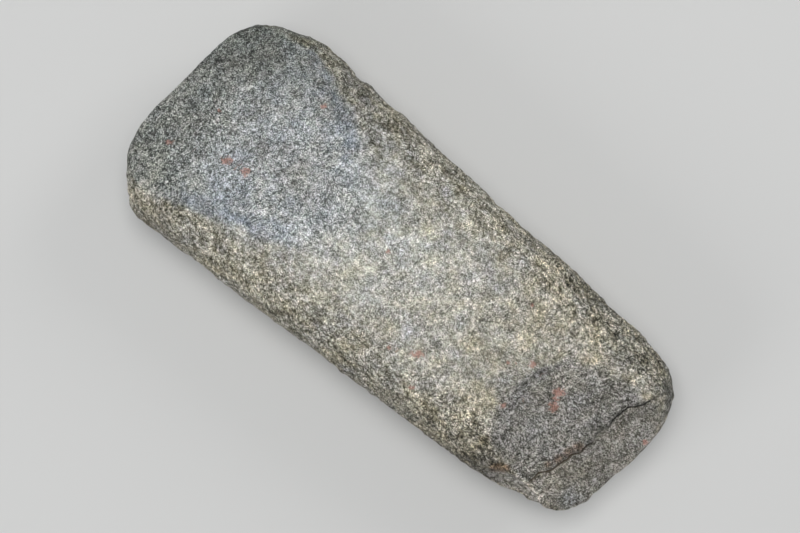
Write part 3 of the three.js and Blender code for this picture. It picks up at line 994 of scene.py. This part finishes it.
def with_marks(tree, colour, place, grain, zones):
    """Rust stains, red grains, and painted shadow in the crack, with a brown stain towards +Y."""
    stain = maths(tree, "MULTIPLY_ADD", zones["ragged"], STAIN_FRAY, attribute(tree, "stain"))
    colour = tinted(tree, ramp(tree, stain, *STAIN_FROM), colour, RUST)

    warp = vectors(tree, "SUBTRACT", noise(tree, place, RED_WARP_SIZE, 2.0, 0.7, "Color"), HALF)
    way = vectors(tree, "MULTIPLY_ADD", warp, RED_WARP, attribute(tree, "from red grain", "Vector"))
    far = add(tree, "ShaderNodeVectorMath", {0: way}, operation="LENGTH").outputs["Value"]
    redness = times(tree, ramp(tree, far, *RED_FROM), ramp(tree, grain["Specks"], *RED_SPECKS))
    colour = mix(tree, redness, colour, RED)

    # painted shadow in the crack: dark only at the foot of the step, so that its wall keeps the colour of
    # the stone
    crack = times(
        tree, ramp(tree, zones["beyond"], *CRACK_SHADOW_BEFORE), ramp(tree, zones["beyond"], *CRACK_SHADOW_PAST),
        attribute(tree, "crack"), zones["broken"],
    )
    crack_shadow_colour = mix(tree, fade(tree, zones["across"], CRACK_BROWN_ACROSS), CRACK_SHADOW, CRACK_STAIN_IN_SHADOW)
    return mix(tree, crack, colour, crack_shadow_colour)


def greenstone_material():
    material = bpy.data.materials.new("greenstone")
    material.use_nodes = True
    tree = material.node_tree
    shader = tree.nodes["Principled BSDF"]
    place = add(tree, "ShaderNodeTexCoord").outputs["Object"]
    grain = add(tree, "ShaderNodeGroup", node_tree=grain_group())
    tree.links.new(place, grain.inputs["Vector"])
    zones = skin_zones(tree, place)
    value = mineral_value(tree, place, grain.outputs, zones)

    colour = face_colour(tree, value, zones)
    colour = shaded(tree, colour, zones)
    colour = clouded(tree, colour, grain.outputs, zones)
    colour = with_marks(tree, colour, place, grain.outputs, zones)
    colour = add(tree, "ShaderNodeGamma", {"Color": colour, "Gamma": EYE}).outputs[0]
    tree.links.new(colour, shader.inputs["Base Color"])

    roughness = between(tree, zones["ground"], PECKED_ROUGHNESS, GROUND_ROUGHNESS)
    tree.links.new(roughness, shader.inputs["Roughness"])
    relief = maths(tree, "MULTIPLY_ADD", grain.outputs["Clumps"], BUMP_CLUMPS, value)
    sockets = {"Height": relief, "Strength": BUMP_STRENGTH, "Distance": BUMP_DEPTH}
    bump = add(tree, "ShaderNodeBump", sockets)
    tree.links.new(bump.outputs[0], shader.inputs["Normal"])
    return material


greenstone = greenstone_material()
stone = bpy.data.objects.new("greenstone_axe_head", build_stone())
bpy.context.collection.objects.link(stone)
stone.data = with_relief(stone, greenstone)
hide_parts("axe_head")
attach(stone, "root")

# ---------------------------------------------------------------- floor, light and camera

FLOOR_SIZE = 6.0
FLOOR_COLOUR = (0.62, 0.62, 0.61, 1.0)
FLOOR_ROUGHNESS = 0.9
SKY_COLOUR = (0.85, 0.87, 0.9, 1.0)
SKY_STRENGTH = 0.3
SOFTBOX_SIZE = 0.5
LIT_POINT = Vector((0.0, 0.0, 0.02))

bpy.ops.mesh.primitive_plane_add(size=FLOOR_SIZE)
floor = bpy.context.object
floor.name = "floor"
floor_material = bpy.data.materials.new("pale floor")
floor_material.use_nodes = True
floor_shader = floor_material.node_tree.nodes["Principled BSDF"]
floor_shader.inputs["Base Color"].default_value = FLOOR_COLOUR
floor_shader.inputs["Roughness"].default_value = FLOOR_ROUGHNESS
floor.data.materials.append(floor_material)


def softbox(name, place, power):
    """A square lamp that faces the stone."""
    light = bpy.data.lights.new(name, "AREA")
    light.shape = "SQUARE"
    light.size = SOFTBOX_SIZE
    light.energy = power
    holder = bpy.data.objects.new(name, light)
    bpy.context.collection.objects.link(holder)
    holder.location = place
    holder.rotation_euler = (LIT_POINT - Vector(place)).to_track_quat("-Z", "Y").to_euler()


softbox("overhead", (0.12, -0.08, 1.2), 8.5)
softbox("left", (0.3, 0.9, 0.7), 2.5)
softbox("right", (-0.3, -0.9, 0.7), 2.5)
world = bpy.data.worlds.new("studio")
world.use_nodes = True
world.node_tree.nodes["Background"].inputs["Color"].default_value = SKY_COLOUR
world.node_tree.nodes["Background"].inputs["Strength"].default_value = SKY_STRENGTH
bpy.context.scene.world = world
bpy.context.scene.view_settings.view_transform = "Standard"

VIEW_WIDTH = 0.21424                 # metres across the view, at the height of the widest girth
GIRTH_HEIGHT = 0.022
VIEW_X, VIEW_Y = 0.00193, 0.00004
LENS = 100.0
SENSOR = 36.0
# The view's right and up: it looks straight down, with the bit at the upper left
VIEW_RIGHT = Vector((-0.7796, -0.6263, 0.0))
VIEW_UP = Vector((0.6263, -0.7796, 0.0))
camera_data = bpy.data.cameras.new("camera")
camera_data.lens = LENS
camera_data.sensor_width = SENSOR
camera = bpy.data.objects.new("camera", camera_data)
bpy.context.collection.objects.link(camera)
camera_height = GIRTH_HEIGHT + VIEW_WIDTH / SENSOR * LENS
view_turn = Matrix((VIEW_RIGHT, VIEW_UP, Vector((0.0, 0.0, 1.0)))).transposed()
camera.matrix_world = Matrix.Translation((VIEW_X, VIEW_Y, camera_height)) @ view_turn.to_4x4()
bpy.context.scene.camera = camera
